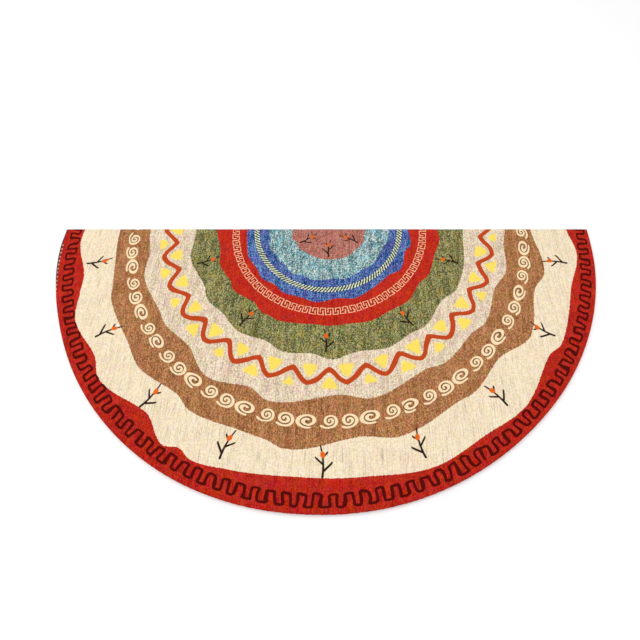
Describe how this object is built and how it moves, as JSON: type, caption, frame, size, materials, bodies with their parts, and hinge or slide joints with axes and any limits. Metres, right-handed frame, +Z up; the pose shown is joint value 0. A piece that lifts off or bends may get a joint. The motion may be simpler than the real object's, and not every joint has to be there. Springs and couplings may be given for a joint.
{
  "type": "half-round doormat",
  "caption": "Half-round printed low-pile doormat with a straight edge for the door, worn flat on the floor.",
  "frame": {"origin": "bottom centre of the mat's box, on the floor", "axes": "+X along the straight edge, +Y towards the straight edge that lies against the door, +Z up from the floor"},
  "size_m": [0.9, 0.45, 0.006],
  "materials": {
    "printed_pile": "low printed pile, matt, in rings of red, cream, brown, oatmeal, green, blue, teal and rose"
  },
  "bodies": {
    "root": {"mat": "printed_pile"}
  },
  "joints": []
}
